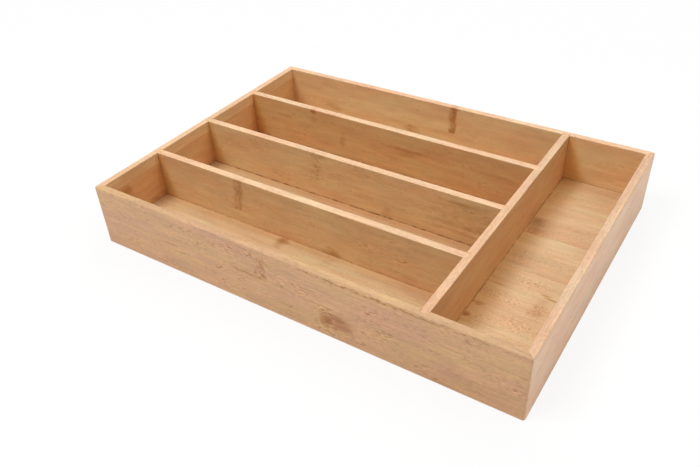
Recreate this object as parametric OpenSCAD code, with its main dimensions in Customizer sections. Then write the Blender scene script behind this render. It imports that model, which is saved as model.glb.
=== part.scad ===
// Cutlery tray for a kitchen drawer, glued up from bamboo strips.
// Four mitred walls hold a raised floor in a groove. A cross divider and three long dividers stand
// on the floor, with their ends let into housings. Each board is one strip thick.
// The origin is at the middle of the bottom, with X along the length and the cross compartment at +X.

/* [Tray] */
// Outside length, left to right
tray_w = 356; // [300:1:430]
// Outside depth, front to back
tray_d = 256; // [225:1:330]
// Outside height, from the bottom edge to the rim
tray_h = 52.5; // [46:0.5:80]

/* [Boards] */
// Thickness of the four walls
wall_t = 6; // [5:0.5:9]
// Thickness of the dividers
divider_t = 6; // [5:0.5:9]
// Thickness of the floor
floor_t = 5; // [3:0.5:7]
// Open height under the floor
floor_lift = 7; // [3:0.5:9]

/* [Compartments] */
// Clear width of the cross compartment at the right-hand end
cross_w = 61; // [40:1:100]
// Clear width of the front slot
front_slot_w = 56.5; // [40:0.5:62]
// Clear width of the second slot
second_slot_w = 56.5; // [40:0.5:62]
// Clear width of the third slot, with the back slot taking the depth that is left
third_slot_w = 56.5; // [40:0.5:62]

/* [Strips] */
// Height of the upper strip of the front, back and right walls
wall_upper_h = 25.5; // [15:0.5:30]
// Height of the upper strip of the left wall
left_upper_h = 9.5; // [6:0.5:12]
// Height of the middle strip of the left wall
left_middle_h = 26; // [15:0.5:28]
// Height of the upper strip of the cross divider
cross_upper_h = 22.5; // [12:0.5:27]
// Height of the upper strip of the long dividers
long_upper_h = 29.5; // [12:0.5:30]
// Number of strips side by side in the floor
floor_strips = 11; // [8:1:16]

/* [Joints] */
// Depth of the groove in the walls that holds the floor
groove_depth = 3; // [2:0.5:4]
// Depth of the housings that hold the ends of the dividers
housing_depth = 3; // [2:0.5:4]
// Clearance on each side of a board in its groove or housing
fit_gap = 0.1; // [0.05:0.05:0.3]

/* [Edges] */
// Radius of the upright outer corners
corner_r = 2; // [1.5:0.5:4]
// Radius of the outer top and bottom edges of the walls
outer_edge_r = 1; // [0.5:0.25:1.5]
// Radius of the inner edges of the walls
inner_edge_r = 0.5; // [0.25:0.25:1]
// Radius of the top edges of the dividers
divider_edge_r = 0.5; // [0.25:0.25:1.5]

/* [Hidden] */
$fn = 48;
// How far a cut runs past the face that it opens
overrun = 1;

// Inside of the walls
inner_w = tray_w - 2 * wall_t;
inner_d = tray_d - 2 * wall_t;
floor_top = floor_lift + floor_t;
divider_h = tray_h - floor_top;

// Middle of each divider
cross_x = inner_w / 2 - cross_w - divider_t / 2;
front_y = -inner_d / 2 + front_slot_w + divider_t / 2;
middle_y = front_y + second_slot_w + divider_t;
back_y = middle_y + third_slot_w + divider_t;
long_ys = [front_y, middle_y, back_y];

// Boards that reach into a groove or a housing
floor_w = inner_w + 2 * (groove_depth - fit_gap);
floor_d = inner_d + 2 * (groove_depth - fit_gap);
cross_length = inner_d + 2 * (housing_depth - fit_gap);
long_start = -inner_w / 2 - housing_depth + fit_gap;
long_end = cross_x - divider_t / 2 + housing_depth - fit_gap;

// Heights at which strips meet
wall_seam = tray_h - wall_upper_h;
left_upper_seam = tray_h - left_upper_h;
left_lower_seam = left_upper_seam - left_middle_h;
cross_seam = tray_h - cross_upper_h;
long_seam = tray_h - long_upper_h;
floor_strip_w = floor_d / floor_strips;

// Tones of bamboo
pale_straw = [0.87, 0.72, 0.56];
straw = [0.83, 0.67, 0.50];
honey = [0.80, 0.61, 0.41];
toffee = [0.74, 0.54, 0.35];

function floor_strip_name(i) = str("floor_strip_", i);

// Keeps what lies above a height
module above(z) {
    intersection() {
        children();
        translate([-tray_w, -tray_d, z]) cube([2 * tray_w, 2 * tray_d, 2 * tray_h]);
    }
}

// Keeps what lies below a height
module below(z) {
    intersection() {
        children();
        translate([-tray_w, -tray_d, z - 2 * tray_h]) cube([2 * tray_w, 2 * tray_d, 2 * tray_h]);
    }
}

// Runs a profile of depth and height along X
module along_x(start, end) {
    translate([start, 0, 0]) rotate([90, 0, 90]) linear_extrude(end - start) children();
}

// Cross-section of a wall, with its outer face at 0
module wall_profile() {
    r_out = outer_edge_r;
    r_in = inner_edge_r;
    translate([r_out, 0]) square([wall_t - r_out - r_in, tray_h]);
    translate([0, r_out]) square([r_out, tray_h - 2 * r_out]);
    translate([wall_t - r_in, r_in]) square([r_in, tray_h - 2 * r_in]);
    for (z = [r_out, tray_h - r_out]) translate([r_out, z]) circle(r_out);
    for (z = [r_in, tray_h - r_in]) translate([wall_t - r_in, z]) circle(r_in);
}

// Upright round at the +X end of a wall, turned from the outer part of its cross-section
module wall_corner(length) {
    translate([length / 2 - corner_r, corner_r, 0]) rotate([0, 0, -90]) rotate_extrude(angle = 90)
        intersection() {
            translate([corner_r, 0]) mirror([1, 0]) wall_profile();
            square([corner_r, tray_h]);
        }
}

// Wedge that cuts the +X end of a wall to its mitre
module mitre_cut(length) {
    reach = wall_t + overrun;
    translate([length / 2, 0, -overrun]) linear_extrude(tray_h + 2 * overrun)
        polygon([[overrun, -overrun], [overrun, reach], [-reach, reach]]);
}

// Slot for the end of a divider, open at the rim and at the side that faces +Y
module housing(x, face_y) {
    width = divider_t + 2 * fit_gap;
    translate([x - width / 2, face_y - housing_depth, floor_top])
        cube([width, housing_depth + overrun, divider_h + overrun]);
}

// One wall along X, with its outer face at Y 0 and its inner face towards +Y
module wall(length, housings) {
    difference() {
        union() {
            along_x(corner_r - length / 2, length / 2 - corner_r) wall_profile();
            wall_corner(length);
            mirror([1, 0, 0]) wall_corner(length);
        }
        mitre_cut(length);
        mirror([1, 0, 0]) mitre_cut(length);
        translate([-length / 2, wall_t - groove_depth, floor_lift])
            cube([length, groove_depth + overrun, floor_t + fit_gap]);
        for (x = housings) housing(x, wall_t);
    }
}

module front_wall() {
    translate([0, -tray_d / 2, 0]) wall(tray_w, [cross_x]);
}

module back_wall() {
    translate([0, tray_d / 2, 0]) rotate([0, 0, 180]) wall(tray_w, [-cross_x]);
}

module left_wall() {
    translate([-tray_w / 2, 0, 0]) rotate([0, 0, -90]) wall(tray_d, -long_ys);
}

module right_wall() {
    translate([tray_w / 2, 0, 0]) rotate([0, 0, 90]) wall(tray_d, []);
}

// Cross-section of a divider, standing on the floor, with its middle at 0
module divider_profile() {
    r = divider_edge_r;
    translate([-divider_t / 2, floor_top]) square([divider_t, divider_h - r]);
    translate([r - divider_t / 2, floor_top]) square([divider_t - 2 * r, divider_h]);
    for (x = [r - divider_t / 2, divider_t / 2 - r]) translate([x, tray_h - r]) circle(r);
}

// Board from the front wall to the back wall, with housings for the long dividers in its left face
module cross_divider() {
    translate([cross_x, 0, 0]) rotate([0, 0, 90]) difference() {
        along_x(-cross_length / 2, cross_length / 2) divider_profile();
        for (y = long_ys) housing(y, divider_t / 2);
    }
}

// Board from the left wall to the cross divider
module long_divider(y) {
    translate([0, y, 0]) along_x(long_start, long_end) divider_profile();
}

module front_wall_lower_strip() {
    color(straw) below(wall_seam) front_wall();
}

module front_wall_upper_strip() {
    color(pale_straw) above(wall_seam) front_wall();
}

module back_wall_lower_strip() {
    color(honey) below(wall_seam) back_wall();
}

module back_wall_upper_strip() {
    color(straw) above(wall_seam) back_wall();
}

module left_wall_lower_strip() {
    color(honey) below(left_lower_seam) left_wall();
}

module left_wall_middle_strip() {
    color(toffee) above(left_lower_seam) below(left_upper_seam) left_wall();
}

module left_wall_upper_strip() {
    color(straw) above(left_upper_seam) left_wall();
}

module right_wall_lower_strip() {
    color(straw) below(wall_seam) right_wall();
}

module right_wall_upper_strip() {
    color(pale_straw) above(wall_seam) right_wall();
}

module cross_divider_lower_strip() {
    color(honey) below(cross_seam) cross_divider();
}

module cross_divider_upper_strip() {
    color(toffee) above(cross_seam) cross_divider();
}

module long_divider_lower_strip(y) {
    color(honey) below(long_seam) long_divider(y);
}

module long_divider_upper_strip(y) {
    color(straw) above(long_seam) long_divider(y);
}

// One strip of the floor, counted from the front
module floor_strip(i) {
    tone = i % 2 == 0 ? straw : pale_straw;
    color(tone) translate([-floor_w / 2, -floor_d / 2 + (i - 1) * floor_strip_w, floor_lift])
        cube([floor_w, floor_strip_w, floor_t]);
}

front_wall_lower_strip();
front_wall_upper_strip();
back_wall_lower_strip();
back_wall_upper_strip();
left_wall_lower_strip();
left_wall_middle_strip();
left_wall_upper_strip();
right_wall_lower_strip();
right_wall_upper_strip();
cross_divider_lower_strip();
cross_divider_upper_strip();
long_divider_lower_strip(front_y);  // front_divider_lower_strip
long_divider_upper_strip(front_y);  // front_divider_upper_strip
long_divider_lower_strip(middle_y);  // middle_divider_lower_strip
long_divider_upper_strip(middle_y);  // middle_divider_upper_strip
long_divider_lower_strip(back_y);  // back_divider_lower_strip
long_divider_upper_strip(back_y);  // back_divider_upper_strip
for (i = [1 : floor_strips]) floor_strip(i);
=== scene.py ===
# %% [markdown]
# # A cutlery tray of bamboo strips
# The object is an open tray that lies in a kitchen drawer. Four walls, a raised floor, a cross divider and
# three long dividers make five compartments, and each board is glued up from flat bamboo strips.
# The boards could be modelled again here, but the CAD model already has every strip as a node of its own,
# with its joints and its rounded edges. So the shapes stay, and this lesson adds what CAD leaves out:
# the camera, the light, and bamboo that looks like bamboo on every strip.

# %% The frame
import math
from collections import namedtuple

import bpy
from mathutils import Matrix, Vector


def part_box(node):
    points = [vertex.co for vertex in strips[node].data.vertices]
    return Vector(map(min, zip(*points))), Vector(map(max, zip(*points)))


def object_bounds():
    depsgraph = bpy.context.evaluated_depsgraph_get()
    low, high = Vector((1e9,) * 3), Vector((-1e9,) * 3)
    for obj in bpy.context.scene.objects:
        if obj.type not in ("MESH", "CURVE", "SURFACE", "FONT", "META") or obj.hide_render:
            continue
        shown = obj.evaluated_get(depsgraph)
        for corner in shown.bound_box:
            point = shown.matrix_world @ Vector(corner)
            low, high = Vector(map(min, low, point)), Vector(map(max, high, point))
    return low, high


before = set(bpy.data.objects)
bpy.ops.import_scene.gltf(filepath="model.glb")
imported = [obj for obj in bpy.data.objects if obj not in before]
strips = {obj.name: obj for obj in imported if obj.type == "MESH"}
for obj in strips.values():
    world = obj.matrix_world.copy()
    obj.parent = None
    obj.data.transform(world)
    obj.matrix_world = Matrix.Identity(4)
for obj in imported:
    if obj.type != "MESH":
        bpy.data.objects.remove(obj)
cad_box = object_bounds()
print(f"The frame has {len(strips)} strips, from {tuple(cad_box[0])} to {tuple(cad_box[1])}")

# %% [markdown]
# ## The camera
# The tray is seen from above its front right-hand corner, with a slight tilt of the camera.
# A camera can be turned by hand until the picture looks right, or worked out from a few edges of the
# object whose real places are known. The second way gives the angles below, so the walls fall where they
# do in the photograph. The lens is written as a focal length in pixels, because that is what edges give.

# %% Camera
MM = 0.001
image_width_px = 700
focal_length_px = 718.5
sensor_width_mm = 36.0
camera_azimuth = math.radians(34.473)
camera_elevation = math.radians(36.670)
camera_roll = math.radians(-2.843)
camera_distance = 548.13 * MM
camera_target = Vector((2.341, -44.381, 20.0)) * MM

sideways = Vector((math.cos(camera_azimuth), math.sin(camera_azimuth), 0))
backward = Vector((
    math.sin(camera_azimuth) * math.cos(camera_elevation),
    -math.cos(camera_azimuth) * math.cos(camera_elevation),
    math.sin(camera_elevation),
))
upward = backward.cross(sideways)
to_the_right = math.cos(camera_roll) * sideways + math.sin(camera_roll) * upward
to_the_top = math.cos(camera_roll) * upward - math.sin(camera_roll) * sideways

camera_data = bpy.data.cameras.new("camera")
camera_data.sensor_width = sensor_width_mm
camera_data.lens = focal_length_px * sensor_width_mm / image_width_px
camera = bpy.data.objects.new("camera", camera_data)
turn = Matrix((to_the_right, to_the_top, backward)).transposed()
camera.matrix_world = Matrix.Translation(camera_target + backward * camera_distance) @ turn.to_4x4()
bpy.context.scene.collection.objects.link(camera)
bpy.context.scene.camera = camera
print(f"The camera stands at {tuple(camera.location)} with a lens of {camera_data.lens:.1f} mm")

# %% [markdown]
# ## Formulas for shaders
# A shader is a graph of nodes. Written as a list of nodes and links, a formula is hard to read.
# So one small class wraps a socket and answers to Python's operators: `1 - mask` adds the Math node.
# Every other node comes from the class's `node` method. It sets a node up first, because a setting can
# change the node's sockets, and then fills the sockets with numbers or links.

# %% A socket that works in a formula
class Shade:
    """One output socket of a node tree, or the tree alone as a place to add nodes."""

    def __init__(self, tree, socket=None):
        self.tree = tree
        self.socket = socket

    def node(self, kind, settings=None, sockets=None, output=0):
        """Adds a node, sets it up, fills its sockets and gives one of its outputs."""
        made = self.tree.nodes.new(kind)
        for name, value in (settings or {}).items():
            setattr(made, name, value)
        for key, value in (sockets or {}).items():
            if isinstance(value, Shade):
                self.tree.links.new(value.socket, made.inputs[key])
            else:
                made.inputs[key].default_value = value
        return Shade(self.tree, made.outputs[output]) if made.outputs else None

    def math(self, operation, *values):
        """Adds a Math node that works on these values."""
        return self.node("ShaderNodeMath", {"operation": operation}, dict(enumerate(values)))

    def __add__(self, other):
        return self.math("ADD", self, other)

    def __sub__(self, other):
        return self.math("SUBTRACT", self, other)

    def __rsub__(self, other):
        return self.math("SUBTRACT", other, self)

    def __mul__(self, other):
        return self.math("MULTIPLY", self, other)

    def __truediv__(self, other):
        return self.math("DIVIDE", self, other)

    def __rtruediv__(self, other):
        return self.math("DIVIDE", other, self)

    def __abs__(self):
        return self.math("ABSOLUTE", self)

    __radd__ = __add__
    __rmul__ = __mul__


print("A socket can be added, subtracted, multiplied and divided")

# %% [markdown]
# ## Masks and colours
# Most of the finish is made of masks, values from 0 to 1 that say where a mark lies. A few short helpers
# keep the recipes readable: a mask that fades with a distance, the strongest of several masks, a colour laid
# over another one or scaled by a tint where a mask is 1, which makes a stain or painted shade, and a colour
# made lighter or darker. Colours go through Mix and Vector Math, because a Math node would turn them grey. A
# Mix node keeps sockets for numbers, vectors and colours side by side under the same names, so the ones for
# colours are named here by their places.

# %% Helpers for masks and colours
FACTOR, BELOW, ABOVE, RESULT = 0, 6, 7, 2


def larger(one, other):
    """The larger of two values."""
    return one.math("MAXIMUM", one, other)


def strongest(masks):
    """The largest of several masks."""
    mask = masks[0]
    for other in masks[1:]:
        mask = larger(mask, other)
    return mask


def limited(value):
    """A value kept between 0 and 1."""
    return value.node("ShaderNodeClamp", {}, {"Value": value})


def near(distance, reach):
    """A mask that is 1 where a distance is nothing, and fades smoothly to 0 where it is the reach."""
    fade = limited(1 - abs(distance) / reach)
    return fade * fade * (3 - 2 * fade)


def blend(mask, below, above):
    """Lays a colour over another one where a mask is 1."""
    sockets = {FACTOR: mask, BELOW: below, ABOVE: above}
    return mask.node("ShaderNodeMix", {"data_type": "RGBA"}, sockets, RESULT)


def stained_or_shaded(mask, colour, tint):
    """A colour with its red, green and blue scaled by a tint where a mask is 1."""
    settings = {"data_type": "RGBA", "blend_type": "MULTIPLY"}
    sockets = {FACTOR: mask, BELOW: colour, ABOVE: (*tint, 1.0)}
    return mask.node("ShaderNodeMix", settings, sockets, RESULT)


def shaded(colour, level):
    """A colour made lighter or darker by a level that changes over the surface."""
    return colour.node("ShaderNodeVectorMath", {"operation": "SCALE"}, {"Vector": colour, "Scale": level})


def tinted(tone, tint):
    """A tone with its red, green and blue scaled, as a colour for a socket."""
    return (*(part * share for part, share in zip(tone, tint)), 1.0)


helpers = (strongest, limited, near, blend, stained_or_shaded, shaded, tinted)
print("Helpers:", ", ".join(helper.__name__ for helper in helpers))

# %% [markdown]
# ## The table top
# The tray stands on a plain white table that runs on into a white background.
# A curved paper sweep would do, but from above only its flat part shows, so one large square is enough.
# Its material has two parts. The white diffuse part takes the tray's shadow and throws light back onto
# the walls. The glowing part shows to the camera alone, and it lifts the table to the white of the background
# without more light on the tray. Far from the tray it takes over, so that no horizon shows.

# %% Table
table_half = 6.0
table_white = (0.9, 0.9, 0.9, 1.0)
table_glow = 0.85
shadow_reach = 1.5

table_mesh = bpy.data.meshes.new("table")
table_corners = [(-1, -1), (1, -1), (1, 1), (-1, 1)]
table_mesh.from_pydata([(x * table_half, y * table_half, 0) for x, y in table_corners], [], [(0, 1, 2, 3)])
table = bpy.data.objects.new("table", table_mesh)
bpy.context.scene.collection.objects.link(table)

table_finish = bpy.data.materials.new("table_white")
table_finish.use_nodes = True
table_finish.node_tree.nodes.clear()
start = Shade(table_finish.node_tree)
seen_by_camera = start.node("ShaderNodeLightPath", output="Is Camera Ray")
spot = start.node("ShaderNodeTexCoord", output="Object")
from_tray = start.node("ShaderNodeVectorMath", {"operation": "LENGTH"}, {"Vector": spot}, "Value")
glowing = 1 - (1 - table_glow) * near(from_tray, shadow_reach)
matt = start.node("ShaderNodeBsdfDiffuse", {}, {"Color": table_white})
glow = start.node("ShaderNodeEmission", {}, {"Strength": 1.0})
top = start.node("ShaderNodeMixShader", {}, {FACTOR: seen_by_camera * glowing, 1: matt, 2: glow})
start.node("ShaderNodeOutputMaterial", {}, {"Surface": top})
table_mesh.materials.append(table_finish)
print(f"The table is {2 * table_half} m wide")

# %% [markdown]
# ## The room
# The world stands for the white room round the table. It could be a picture of a studio, but a plain colour
# keeps the light even. The camera and reflections see it as white, with a strength of 1. For all other
# light it is dimmer, so that the lamps shape the tray and the compartments keep their depth.

# %% World
room_fill = 0.225
room_white = (1.0, 1.0, 1.0, 1.0)

world = bpy.data.worlds.new("white_room")
world.use_nodes = True
world.node_tree.nodes.clear()
start = Shade(world.node_tree)
seen = [
    start.node("ShaderNodeLightPath", output=ray)
    for ray in ("Is Camera Ray", "Is Glossy Ray", "Is Transmission Ray")
]
room = start.node("ShaderNodeBackground", {}, {
    "Color": room_white,
    "Strength": room_fill + (1 - room_fill) * strongest(seen),
})
start.node("ShaderNodeOutputWorld", {}, {"Surface": room})
bpy.context.scene.world = world
bpy.context.scene.view_settings.view_transform = "Standard"
print(f"The room is white to the camera and fills shadows with a strength of {room_fill}")

# %% [markdown]
# ## The lamps
# In a compartment the shadow of a wall leans to the right and has a soft edge about a centimetre wide, the
# front is lit a little less than the rims, and the right-hand side is as pale as the front. Three panels give
# that: the main one in front on the left, a broad one behind, and one on the right.
# Sun lamps would throw one hard edge each. A panel's size sets how soft its shadow is, so the main panel is
# the smallest, and the other two are broad enough to leave no edge of their own.

# %% Lamps
lamp_distance = 2.2


def panel_lamp(name, azimuth, elevation, size, power):
    """A square panel of light that faces the tray, placed by its angles from the X axis and the table."""
    turn = math.radians(azimuth)
    rise = math.radians(elevation)
    towards_lamp = Vector((
        math.cos(turn) * math.cos(rise),
        math.sin(turn) * math.cos(rise),
        math.sin(rise),
    ))
    lamp_data = bpy.data.lights.new(name, "AREA")
    lamp_data.size = size
    lamp_data.energy = power
    lamp = bpy.data.objects.new(name, lamp_data)
    lamp.location = towards_lamp * lamp_distance
    lamp.rotation_euler = (-towards_lamp).to_track_quat("-Z", "Y").to_euler()
    bpy.context.scene.collection.objects.link(lamp)
    print(f"{name}: {power} W from {azimuth} degrees, {elevation} degrees up")


panel_lamp("front_lamp", azimuth=235, elevation=60, size=0.85, power=27.8)
panel_lamp("back_lamp", azimuth=93, elevation=60, size=1.8, power=16.8)
panel_lamp("side_lamp", azimuth=5, elevation=50, size=1.3, power=11.3)

# %% [markdown]
# ## Which way the grain runs
# A bamboo strip is split from the stem, so its fibres run along its whole length. On this tray the length of
# each strip is its longest side, the face that shows is as high as the second side, and the third side is
# the thickness of the board. The box of a strip therefore says how its grain lies. UV maps would do the same,
# but every board would need one. Object coordinates need none: they are places in the tray, in metres.
# With these three directions, noise can be drawn out along the grain, and a mark can be put at a point.
# A noise is smooth, rough or ragged by its detail, which says how much finer noise lies on it.

# %% Grain
tray_low, tray_high = cad_box
floor_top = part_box("floor_strip_1")[1].z
middle = 0.5
smooth = 1.0
rough = 2.0
ragged = 3.0


def grain_axes(name):
    """The axes of a strip: along its grain, across its face and through its thickness."""
    low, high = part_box(name)
    size = high - low
    return sorted(range(3), key=lambda axis: -size[axis])


def fleck(grain, length, width, seed, detail=rough):
    """Noise round 0, drawn out along the grain, with flecks of about this length and width in millimetres."""
    along, across, through = grain
    point = along.node("ShaderNodeCombineXYZ", {}, {
        "X": along / (length * MM),
        "Y": across / (width * MM),
        "Z": through / (width * MM),
    })
    noise = point.node("ShaderNodeTexNoise", {"noise_dimensions": "4D"}, {
        "Vector": point,
        "W": seed,
        "Scale": 1.0,
        "Detail": detail,
    })
    return noise - middle


def oval(grain, place, height, length, width):
    """A value that is 1 at a point of the face, 0 on an oval round it and less outside, in millimetres."""
    along = (grain[0] - place * MM) / (length * MM)
    across = (grain[1] - height * MM) / (width * MM)
    return 1 - along * along - across * across


for name in ("front_wall_upper_strip", "left_wall_upper_strip", "floor_strip_1"):
    print(f"{name} has its grain along {'XYZ'[grain_axes(name)[0]]}")

# %% [markdown]
# ## Tone and fibres
# Planed bamboo is never one colour. Its hue drifts slowly from a reddish to an olive straw, faint clouds lie
# in it, and the cut ends of its fibres make streaks and a fine speckle. One noise with many octaves could do
# all this, but its sizes would be tied together. Five plain noises, from five centimetres down to a fibre,
# can each be set on its own. A size below is the length and the width of a fleck in millimetres, and a weight
# is how much of the noise goes in. The first two noises change the hue and the soft shading, the others are
# the grain, and the grain also raises the surface a little, so that light catches it.

# %% Tone
orange_to_straw = ((1.04, 0.96, 0.94), (0.96, 1.04, 1.05))
pink_to_olive = ((1.03, 0.985, 1.07), (0.97, 1.01, 0.91))
drift_size = (50, 14)
cloud_size = (24, 5)
streak_size = (30, 1.4)
speck_size = (3, 1)
fibre_size = (22, 0.45)
drift_in_hue = 2.6
clouds_in_hue = 0.8
drift_in_shading = 0.2
clouds_in_shading = 0.35
streak_weight = 0.35
speck_weight = 0.45
fibre_weight = 0.3


def fibre_figure(grain, seed):
    """How the hue of a strip drifts, how its shading changes, and its grain, which varies round 0."""
    drift = fleck(grain, *drift_size, seed, smooth)
    clouds = fleck(grain, *cloud_size, seed + 1, smooth)
    streaks = fleck(grain, *streak_size, seed + 2)
    specks = fleck(grain, *speck_size, seed + 3)
    fibres = fleck(grain, *fibre_size, seed + 4)
    hue = limited(middle + drift * drift_in_hue + clouds * clouds_in_hue)
    shading = drift * drift_in_shading + clouds * clouds_in_shading
    return hue, shading, streaks * streak_weight + specks * speck_weight + fibres * fibre_weight


def coloured(hue, level, tone, hues):
    """A tone that follows the hue and the lightness of the strip."""
    return shaded(blend(hue, tinted(tone, hues[0]), tinted(tone, hues[1])), level)


print(f"A strip's red changes by up to {orange_to_straw[0][0] / orange_to_straw[1][0] - 1:.0%} with its hue")

# %% [markdown]
# ## Dashes
# Where the planer cut through the fibres at a slant, short dark dashes show, each with a pale one beside it.
# They lie in patches, thick round the knuckles and faint elsewhere. Each dash could be drawn as a mark, but
# there are hundreds. A noise with flecks of the right size gives them all: what is high in it is a dark dash,
# what is low is a pale one. A second, larger noise says where the patches are, and a list adds those that are
# known. A patch there is an oval: its place along and across the grain, then half its length and half its
# width, all in millimetres.

# %% Dashes
dash_size = (4, 0.9)
dash_edge = 0.03
dash_contrast = 5
lone_dashes = 0.25
patch_size = (30, 8)
patch_contrast = 4
patch_strength = 1.9
Patch = namedtuple("Patch", "place height length width")


def dash_figure(grain, size, patches, seed):
    """Masks of the dark dashes and the pale ones, in patches of their own and in the patches of a list."""
    dense = limited(fleck(grain, *patch_size, seed, smooth) * patch_contrast + lone_dashes)
    for patch in patches:
        dense = larger(dense, oval(grain, *patch) * patch_strength)
    grit = fleck(grain, *size, seed + 1, smooth)
    dark = limited((grit - dash_edge) * dash_contrast)
    pale = limited((0 - grit - dash_edge) * dash_contrast)
    return dark * dense, pale * dense


print(f"Outside the patches, dashes are {lone_dashes:.0%} as strong")

# %% [markdown]
# ## Knuckles
# A bamboo stem has a knuckle about every 30 cm. A strip that crosses one shows a brown band, about a
# centimetre wide, where the fibres swirl. It could be a picture laid on the strip. Here a band is a mask on
# the distance along the grain, with an edge that wanders and a darker lip on one side. The dark curls on it
# are the contour lines of a noise, the places where its value crosses the middle, which close into loops by
# themselves.
# A knuckle is written as its place on the face and its width in millimetres, how dark its band and its curls
# are, how far it leans, and how far it reaches up and down.

# %% Knuckles
knuckle_wander = 6 * MM
wander_size = (14, 7)
swirl_size = (5, 7)
mottle_size = (20, 9)
lip_place = 0.5
lip_width = 0.9
lip_weight = 0.3
swirl_weight = 1.4
mottle_weight = 1.5
band_level = 0.65
band_sharpness = 1.6
reach_sharpness = 4
curl_width = 0.045
Knuckle = namedtuple("Knuckle", "place height width band curls lean reach", defaults=(0.5, 0.4, 0, 30))


def knuckle_masks(grain, knuckle, seed):
    """The band of a knuckle and its curls."""
    half = knuckle.width / 2 * MM
    reach = knuckle.reach * MM
    rise = grain[1] - knuckle.height * MM
    wander = fleck(grain, *wander_size, seed) * knuckle_wander
    offset = grain[0] - knuckle.place * MM - rise * knuckle.lean + wander
    swirl = fleck(grain, *swirl_size, seed + 1, smooth)
    mottle = fleck(grain, *mottle_size, seed + 2)
    lip = near(offset - half * lip_place, half * lip_width)
    in_width = limited((1 - abs(offset) / half) * band_sharpness)
    in_reach = limited((1 - abs(rise) / reach) * reach_sharpness)
    level = limited(band_level + lip * lip_weight + swirl * swirl_weight + mottle * mottle_weight)
    curls = near(swirl, curl_width) * near(offset, 2 * half) * near(rise, 2 * reach)
    return in_width * in_reach * level * knuckle.band, curls * knuckle.curls


print(f"The edge of a knuckle wanders by up to {knuckle_wander / 2 / MM} mm")

# %% [markdown]
# ## Smudges
# Beside some knuckles lies a stain, where sap has darkened the strip, and here and there a long thin one
# follows the grain. Painted with one soft oval it would look like a thumb mark. So a noise tears the edge of
# the oval before it is cut off at 0 and 1. A thin one is torn less, or it would fall apart.
# A smudge is written as an oval, as a patch of dashes is, then how dark it is and how torn its edge is.

# %% Smudges
tear_size = (9, 5)
Smudge = namedtuple("Smudge", "place height length width depth torn", defaults=(0.5, 3))


def smudge_mask(grain, smudge, seed):
    """A stain round a point of the face, as long and as wide as its oval and as dark as its depth."""
    shape = oval(grain, smudge.place, smudge.height, smudge.length, smudge.width)
    tears = fleck(grain, *tear_size, seed, ragged) * smudge.torn
    return limited(shape + tears) * smudge.depth


print(f"An edge is torn by flecks of {tear_size[0]} by {tear_size[1]} mm")

# %% [markdown]
# ## Lines between pieces
# Thin dark lines tell that the tray is glued up: along the feet of the walls and dividers, where a divider
# goes into a wall, and faintly between two strips of a board. The pieces really end there, but glue and dust
# make the line that the eye sees. Cutting a groove for each would change the pieces, so the lines are masks
# on the distance from the place where a piece ends. A noise breaks them up, as the glue is broken. They are
# strongest under the middle divider, which stands least tight.

# %% Places where pieces end
line_reach = 0.5 * MM
foot_reach = 1.3 * MM
wall_inner_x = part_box("left_wall_upper_strip")[1].x
wall_inner_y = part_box("front_wall_upper_strip")[1].y
cross_low, cross_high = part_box("cross_divider_lower_strip")
long_faces = {
    board: [corner.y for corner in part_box(board + "_lower_strip")]
    for board in ("front_divider", "middle_divider", "back_divider")
}
for board, faces in long_faces.items():
    print(f"The {board} has its faces at {[round(face / MM, 1) for face in faces]} mm")

# %% Lines on walls and dividers
foot_dark = {
    "front_divider": 0.45,
    "middle_divider": 1.0,
    "back_divider": 0.6,
    "cross_divider": 0.7,
    "left_wall": 0.25,
    "wall": 0.6,
}
end_dark = 0.25
seam_dark = 0.05
mitre_dark = 0.12


def foot_of(name):
    """How dark the line along the foot of a board is."""
    return next(dark for board, dark in foot_dark.items() if board in name)


def seam_lines(name, place):
    """Lines along the edges of a wall or divider strip that meet another strip or the floor."""
    low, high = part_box(name)
    lines = []
    for edge in (low.z, high.z):
        free = min(abs(edge - tray_low.z), abs(edge - tray_high.z)) < line_reach
        on_floor = abs(edge - floor_top) < line_reach
        if on_floor:
            lines.append(near(place[2] - edge, foot_reach) * foot_of(name))
        elif not free:
            lines.append(near(place[2] - edge, line_reach) * seam_dark)
    return lines


def wall_lines(name, place):
    """Lines on a wall: at its mitred ends, and inside where the floor goes into its groove."""
    along, _, through = grain_axes(name)
    inner = abs(wall_inner_x if through == 0 else wall_inner_y)
    from_side = tray_high[through] - abs(place[through])
    from_end = tray_high[along] - abs(place[along])
    mitre = near(from_side - from_end, line_reach)
    foot = near(place[2] - floor_top, foot_reach) * near(abs(place[through]) - inner, line_reach)
    return [mitre * mitre_dark, foot * foot_of(name)]


def divider_lines(name, place):
    """Lines on the faces of a divider where its ends go into their housings."""
    ends = (wall_inner_y, -wall_inner_y) if "cross" in name else (wall_inner_x, cross_low.x)
    along = grain_axes(name)[0]
    below_rim = 1 - near(place[2] - tray_high.z, 2 * line_reach)
    return [near(place[along] - end, line_reach) * below_rim * end_dark for end in ends]


print(f"Lines fade out over {line_reach / MM} mm, and along a foot over {foot_reach / MM} mm")

# %% [markdown]
# ## Lines on the floor
# The strips of the floor meet edge to edge, the dividers stand on them, and the walls hold their ends. A line
# along a foot is half on the board and half on the floor, so the floor strips need the same lines, but only
# on top: nothing stands on the underside. The lines could be drawn on all strips alike. But each strip gets
# only those that cross it, because a shader with fewer nodes renders and bakes faster.

# %% Floor lines
floor_seam_dark = 0.2
gap_size = (5, 5)
gap_contrast = 4.5
glue_level = 0.6


def on_top(place):
    """A mask that is 1 on the top of the floor."""
    return near(place[2] - floor_top, foot_reach)


def left_of_cross(place):
    """A mask that is 1 on the side of the cross divider where the long dividers are."""
    return limited((cross_low.x - place[0]) / line_reach)


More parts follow.
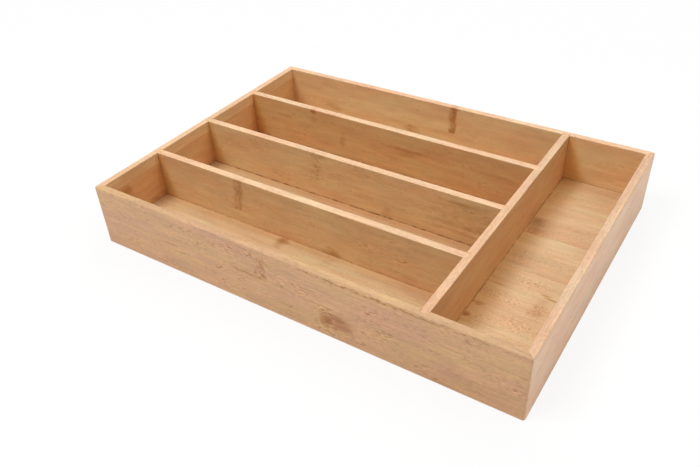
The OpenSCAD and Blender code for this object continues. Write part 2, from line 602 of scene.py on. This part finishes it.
def floor_lines(name, place):
    """Lines on a floor strip: along its edges, and on top along the feet of the boards that stand on it."""
    low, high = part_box(name)
    seams = [near(place[1] - edge, line_reach) * floor_seam_dark for edge in (low.y, high.y)]
    feet_across = [
        (wall_inner_x, "left_wall"), (-wall_inner_x, "wall"),
        (cross_low.x, "cross_divider"), (cross_high.x, "cross_divider"),
    ]
    feet = [near(place[0] - face, foot_reach) * foot_dark[board] for face, board in feet_across]
    for board, faces in long_faces.items():
        for face in faces:
            if low.y - foot_reach < face < high.y + foot_reach:
                feet.append(near(place[1] - face, foot_reach) * left_of_cross(place) * foot_dark[board])
    return seams + [strongest(feet) * on_top(place)]


def glue_lines(name, place, seed):
    """All the lines on a strip, as one broken mask."""
    if "floor" in name:
        lines = floor_lines(name, place)
    elif "wall" in name:
        lines = seam_lines(name, place) + wall_lines(name, place)
    else:
        lines = seam_lines(name, place) + divider_lines(name, place)
    unbroken = limited(glue_level + fleck(place, *gap_size, seed) * gap_contrast)
    return strongest(lines) * unbroken


print(f"A floor seam is {floor_seam_dark / foot_dark['wall']:.0%} as dark as the line along a wall's foot")

# %% [markdown]
# ## Painted shade in the corners
# In the corners to the right of the left-hand wall and of the cross divider, and in narrow bands in front of
# the long dividers, the colour of the bamboo is painted deeper and warmer: painted shade, on top of the
# shadow that the lamps throw. Light goes from board to board there and takes on their colour, which the
# renderer works out; the painted shade makes these corners darker and warmer still. A smudge could do it, but
# the shade follows the corner. So it is a mask on the distance from the corner, wide at the floor and narrow
# at the rim, with an edge that wanders.
# A corner is written as how fast it widens towards the floor, how clear its edge is, and its tint.

# %% Painted corner shade
corner_least = 4 * MM
corner_wander = 7 * MM
corner_wander_size = (12, 12)
corner_seed = 0.5
CornerShade = namedtuple("CornerShade", "spread sharpness tint")
# The tints of painted shade: each one darkens and warms the colour in its corner.
divider_corner_shade = CornerShade(0.31, 3.0, (0.96, 0.86, 0.66))
left_corner_shade = CornerShade(0.05, 3.0, (0.92, 0.90, 0.78))
back_corner_shade = CornerShade(0.42, 2.5, (1.0, 0.87, 0.65))
floor_corner_shade = CornerShade(0.42, 1.2, (1.0, 0.87, 0.60))
foot_corner_shade = CornerShade(0.1, 2.0, (0.98, 0.90, 0.81))


def beside(distance, place, corner):
    """A mask of painted shade on one side of a corner, wide at the floor and narrow at the rim, with an edge
    that wanders.
    """
    reach = corner_least + (tray_high.z - place[2]) * corner.spread
    wander = fleck(place, *corner_wander_size, corner_seed, smooth) * corner_wander
    visible = distance.math("GREATER_THAN", distance, -line_reach)
    return limited((1 - (distance + wander) / reach) * corner.sharpness) * visible


def painted_shade_on_floor_corners(name, place):
    """Masks and tints of painted shade on a floor strip: by the cross divider and the long ones."""
    low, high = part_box(name)
    tint_layers = [(beside(place[0] - cross_high.x, place, floor_corner_shade) * on_top(place), floor_corner_shade.tint)]
    for front_face, _ in long_faces.values():
        if low.y < front_face < high.y:
            before_divider = beside(front_face - place[1], place, foot_corner_shade) * left_of_cross(place)
            tint_layers.append((before_divider * on_top(place), foot_corner_shade.tint))
    return tint_layers


def painted_shade_in_corners(name, place):
    """Masks and tints of painted shade in the corners of a strip, as a list that may be empty."""
    if "floor" in name:
        return painted_shade_on_floor_corners(name, place)
    if "back_wall" in name:
        inside = near(place[1] + wall_inner_y, line_reach)
        return [(beside(place[0] - cross_high.x, place, back_corner_shade) * inside, back_corner_shade.tint)]
    if "left_wall" in name:
        inside = near(place[0] - wall_inner_x, line_reach)
        masks = [beside(faces[0] - place[1], place, left_corner_shade) for faces in long_faces.values()]
        return [(strongest(masks) * inside, left_corner_shade.tint)]
    if "divider" in name and "cross" not in name:
        return [(beside(place[0] - wall_inner_x, place, divider_corner_shade), divider_corner_shade.tint)]
    return []


corner_width = corner_least + (tray_high.z - floor_top) * floor_corner_shade.spread
print(f"On the floor, a corner is {corner_width / MM:.0f} mm wide")

# %% [markdown]
# ## One strip of bamboo
# Now the layers come together, from the wood up: the tone with the sanded rim, then the dashes, the smudges,
# the knuckles and the painted shade in the corners, and last the lines. They could all be one material for
# the whole tray. But on the real tray each strip comes from another stem, so each gets a material of its own
# with its own tone, marks and seed. Each mark, and the painted corner shade, is a tint that scales the colour
# below it, as a stain on paper leaves the paper's own pattern visible. Dashes and lines are also a little
# lower and rougher than the planed wood beside them.

# %% Bamboo
dash_tint = (0.62, 0.45, 0.27)
smudge_tint = (0.67, 0.49, 0.29)
knuckle_tint = (0.64, 0.42, 0.25)
curl_tint = (0.55, 0.40, 0.27)
glue_tint = (0.40, 0.23, 0.11)
plain_figure = 0.5
pale_strength = 0.2
rim_height = 0.8 * MM
rim_sharpness = 3
rim_figure = 1.3
marks_on_rim = 0.4
plain_roughness = 0.5
grain_roughness = 0.2
dash_roughness = 0.08
line_roughness = 0.2
gloss = 0.4
relief_height = 0.1 * MM
relief_strength = 0.3
dash_depth = 0.3
dash_seed = 5
line_seed = 7
smudge_seed = 8
knuckle_seed = 18
seeds_per_knuckle = 3


def bamboo(
    name, tone, seed, rim=None, hues=orange_to_straw,
    knuckles=(), smudges=(), patches=(), figure=plain_figure, dashes=dash_size,
):
    """Gives a strip its finish: tone and rim, hues, marks, and how strong its figure is."""
    finish = bpy.data.materials.new(name + "_bamboo")
    finish.use_nodes = True
    finish.node_tree.nodes.clear()
    start = Shade(finish.node_tree)
    spot = start.node("ShaderNodeTexCoord", output="Object")
    place = [start.node("ShaderNodeSeparateXYZ", {}, {"Vector": spot}, side) for side in range(3)]
    grain = [place[axis] for axis in grain_axes(name)]

    hue, shading, height = fibre_figure(grain, seed)
    dark, pale = dash_figure(grain, dashes, patches, seed + dash_seed)
    lines = glue_lines(name, place, seed + line_seed)

    colour = coloured(hue, 1 + shading + (height + pale * pale_strength) * figure, tone, hues)
    tint_layers = [(dark * figure, dash_tint)]
    for number, smudge in enumerate(smudges):
        tint_layers.append((smudge_mask(grain, smudge, seed + smudge_seed + number), smudge_tint))
    for number, knuckle in enumerate(knuckles):
        band, curls = knuckle_masks(grain, knuckle, seed + knuckle_seed + seeds_per_knuckle * number)
        tint_layers += [(band, knuckle_tint), (curls, curl_tint)]
    # Painted shade in the corners goes on as tints, like the stains.
    tint_layers += painted_shade_in_corners(name, place)
    if rim:
        edge = limited(near(place[2] - tray_high.z, rim_height) * rim_sharpness)
        kept = 1 - edge * (1 - marks_on_rim)
        colour = blend(edge, colour, coloured(hue, 1 + shading + height * rim_figure, rim, hues))
        tint_layers = [(mask * kept, tint) for mask, tint in tint_layers]
    for mask, tint in tint_layers:
        colour = stained_or_shaded(mask, colour, tint)
    colour = stained_or_shaded(lines, colour, glue_tint)

    relief = start.node("ShaderNodeBump", {}, {
        "Strength": relief_strength,
        "Distance": relief_height,
        "Height": height - dark * dash_depth - lines,
    })
    roughness = plain_roughness + height * grain_roughness + dark * dash_roughness + lines * line_roughness
    surface = start.node("ShaderNodeBsdfPrincipled", {}, {
        "Base Color": colour,
        "Roughness": roughness,
        "Specular IOR Level": gloss,
        "Normal": relief,
    })
    start.node("ShaderNodeOutputMaterial", {}, {"Surface": surface})
    strips[name].material_slots[0].material = finish
    print(f"{name}: {len(finish.node_tree.nodes)} nodes")


# %% [markdown]
# ## The walls
# The outside of the front and the right-hand wall is pinkish sand, and the inside of the back and the
# left-hand wall is a warmer straw. A tone could be painted face by face, but a strip is one piece of wood, so
# each strip has one tone and one for its sanded rim. The knuckles of two strips never meet, because a maker
# lays the strips with their knuckles apart. The front shows its grain most.

# %% Front and right-hand wall
sand = (0.665, 0.385, 0.205)
rose = (0.85, 0.56, 0.365)
sand_rim = (0.60, 0.36, 0.19)
rose_rim = (0.71, 0.445, 0.27)
front_figure = 1.0

bamboo(
    "front_wall_upper_strip", sand, seed=1, rim=sand_rim, hues=pink_to_olive, figure=front_figure,
    knuckles=[Knuckle(-16, 37, 10, 0.3, 0.7, reach=12)],
    smudges=[Smudge(-15.5, 37.5, 4, 7, 0.35), Smudge(-32, 28.3, 16, 1.2, 0.6), Smudge(80, 50, 70, 1.2, 0.4)],
    patches=[
        Patch(-16, 35, 7, 11), Patch(-28, 47, 10, 4), Patch(-73, 37, 10, 5), Patch(0, 32, 6, 6),
        Patch(18, 32, 9, 5), Patch(41, 50, 11, 3), Patch(69, 38, 6, 5), Patch(80, 50.6, 100, 1.8),
    ],
)
bamboo(
    "front_wall_lower_strip", sand, seed=41, hues=pink_to_olive, figure=front_figure,
    knuckles=[Knuckle(38, 12, 16, 0, 0.5, reach=10)],
    smudges=[
        Smudge(36, 13.5, 6, 9, 0.85), Smudge(48, 14.5, 12, 8, 0.6), Smudge(48, 17, 13, 10, 0.5),
        Smudge(-104, 25.5, 11, 1.2, 0.35), Smudge(150, 10, 60, 16, 0.12),
    ],
    patches=[
        Patch(35, 23, 12, 4), Patch(36, 5, 9, 3), Patch(63, 8, 6, 4), Patch(-54, 23, 7, 3),
        Patch(-35, 20, 7, 3), Patch(84, 24, 9, 4), Patch(171, 22, 8, 2.5), Patch(113, 10, 6, 4),
    ],
)
bamboo("right_wall_lower_strip", rose, seed=81)
bamboo(
    "right_wall_upper_strip", rose, seed=121, rim=rose_rim,
    smudges=[Smudge(-107, 54, 1.5, 3, 0.9), Smudge(91, 50.8, 0.9, 0.9, 0.8)],
)

# %% Back and left-hand wall
straw = (0.77, 0.50, 0.25)
honey = (0.74, 0.40, 0.175)
pale_honey = (0.84, 0.525, 0.26)
pale_rim = (0.80, 0.505, 0.295)
back_figure = 0.35

bamboo(
    "back_wall_upper_strip", straw, seed=161, rim=pale_rim, figure=back_figure,
    knuckles=[Knuckle(5.5, 38, 8.5, 1.3, 0.4)],
    smudges=[Smudge(10, 51.5, 4, 1.5, 0.6), Smudge(150, 40, 28, 20, 0.12)],
)
bamboo(
    "back_wall_lower_strip", straw, seed=201, figure=back_figure,
    smudges=[Smudge(-36, 20.5, 10, 4, 0.9), Smudge(-125, 25, 12, 10, 0.5), Smudge(150, 20, 28, 20, 0.12)],
)
bamboo("left_wall_lower_strip", honey, seed=241, smudges=[Smudge(-80, 14, 6, 5, 0.5)])
bamboo("left_wall_middle_strip", honey, seed=281, smudges=[Smudge(-103, 36, 7, 6, 0.75)])
bamboo("left_wall_upper_strip", pale_honey, seed=321, rim=pale_rim, smudges=[Smudge(-96, 47, 22, 12, 0.25)])

# %% [markdown]
# ## The dividers
# The dividers stand inside, where each one takes on light from its neighbours. One tone for all would leave
# their differences to that light. But on the real tray the front and the middle one are wheat, and the back
# one and the cross divider are a darker amber, so each board gets its own. Their edges are sanded round and
# show the palest tones of the tray.

# %% Divider strips
wheat = (0.71, 0.455, 0.225)
amber = (0.645, 0.365, 0.155)
cross_rim = (0.74, 0.455, 0.265)

# The two wide faint smudges towards the back end of the cross divider are painted shade by its corner with
# the back wall.
bamboo("cross_divider_lower_strip", amber, seed=361, smudges=[Smudge(90, 20, 60, 30, 0.12)])
bamboo("cross_divider_upper_strip", amber, seed=401, rim=cross_rim, smudges=[Smudge(90, 42, 60, 30, 0.12)])
bamboo("front_divider_lower_strip", wheat, seed=441, smudges=[Smudge(0, 14, 9, 6, 0.8)])
bamboo(
    "front_divider_upper_strip", wheat, seed=481, rim=pale_rim,
    knuckles=[Knuckle(-88, 38, 10, 0.65, 0.6, lean=0.15)],
    patches=[Patch(28, 32, 13, 6), Patch(58, 30, 11, 6), Patch(50, 45, 11, 3)],
)
bamboo(
    "middle_divider_lower_strip", wheat, seed=521,
    smudges=[Smudge(10, 16, 5, 7, 0.35), Smudge(70, 20, 40, 2, 0.35)],
)
bamboo(
    "middle_divider_upper_strip", wheat, seed=561, rim=pale_rim,
    knuckles=[Knuckle(-58, 38, 9, 0.2, 0.8)],
    smudges=[
        Smudge(-50, 50.5, 5, 3, 0.5), Smudge(75, 26, 35, 2.5, 0.4), Smudge(75, 46, 25, 1.5, 0.35),
        Smudge(80, 36, 35, 14, 0.35),
    ],
    patches=[Patch(-34, 37, 6, 4), Patch(80, 42, 25, 3), Patch(85, 26, 20, 3)],
)
bamboo("back_divider_lower_strip", amber, seed=601)
bamboo(
    "back_divider_upper_strip", amber, seed=641, rim=pale_rim,
    smudges=[
        Smudge(-103, 50.5, 4, 3, 1.0), Smudge(-103, 43, 7, 4, 0.3), Smudge(-72, 27, 4, 9, 0.4),
        Smudge(-5, 37, 28, 2, 0.6), Smudge(-8, 33, 12, 4, 0.35), Smudge(76, 36, 22, 1.8, 0.35),
        Smudge(-136, 38.5, 11, 1.5, 0.35),
    ],
)

# %% [markdown]
# ## The floor
# Eleven strips lie side by side in the floor, all of one pale biscuit tone but for two darker ones and three
# lighter ones. One material with a stripe pattern would be shorter. But every strip is a real piece with its
# own knuckles, so the loop gives each its own finish, and only what differs is written out by strip number.

# %% Floor strips
biscuit = (0.635, 0.42, 0.225)
dark_biscuit = (0.60, 0.38, 0.20)
light_biscuit = (0.65, 0.44, 0.24)
floor_figure = 0.7
floor_dashes = (2.2, 0.8)
first_floor_seed = 681
seed_step = 40
floor_tones = {1: light_biscuit, 2: light_biscuit, 6: dark_biscuit, 7: light_biscuit, 8: dark_biscuit}
floor_knuckles = {
    3: [Knuckle(-44, -68, 10, 0.4, 0.2), Knuckle(0, -68, 12, 0.2, 0.15)],
    4: [Knuckle(153, -47, 12, 0.3, 0.2)],
    8: [Knuckle(117, 47, 14, 0.4)],
}
floor_smudges = {
    3: [
        Smudge(115, -58, 6, 4, 0.8), Smudge(113, -72.5, 3, 3, 1.0), Smudge(128, -75.5, 14, 0.8, 0.6, 1),
        Smudge(-43, -70, 7, 4, 0.7),
    ],
    4: [Smudge(153, -48, 9, 9, 0.2)],
    5: [
        Smudge(157, -31.6, 7, 1.3, 1.0, 1), Smudge(153, -29.3, 5, 1.3, 1.0, 1),
        Smudge(119, -33, 7, 0.7, 0.7, 1),
    ],
    8: [Smudge(115, 49, 6, 8, 0.6)],
}
floor_patches = {
    2: [Patch(138, -90, 32, 12)],
    3: [Patch(115, -60, 8, 3), Patch(122, -71, 16, 3), Patch(145, -66, 22, 10)],
    4: [Patch(153, -47, 9, 9), Patch(128, -45, 20, 8)],
    5: [Patch(140, -22, 16, 7)],
}
floor_numbers = range(1, 1 + sum(name.startswith("floor_strip_") for name in strips))
for number in floor_numbers:
    bamboo(
        f"floor_strip_{number}",
        floor_tones.get(number, biscuit),
        seed=first_floor_seed + seed_step * (number - 1),
        knuckles=floor_knuckles.get(number, ()),
        smudges=floor_smudges.get(number, ()),
        patches=floor_patches.get(number, ()),
        figure=floor_figure,
        dashes=floor_dashes,
    )

# %% [markdown]
# ## The size
# Nothing here may change the tray's size. The eye would miss a millimetre, so the box of the CAD model is
# printed where the frame is loaded.

# %% [markdown]
# ## The last step
# Then it prints how many strips are dressed.

# %% Finish
print(f"{len(strips)} strips are dressed")
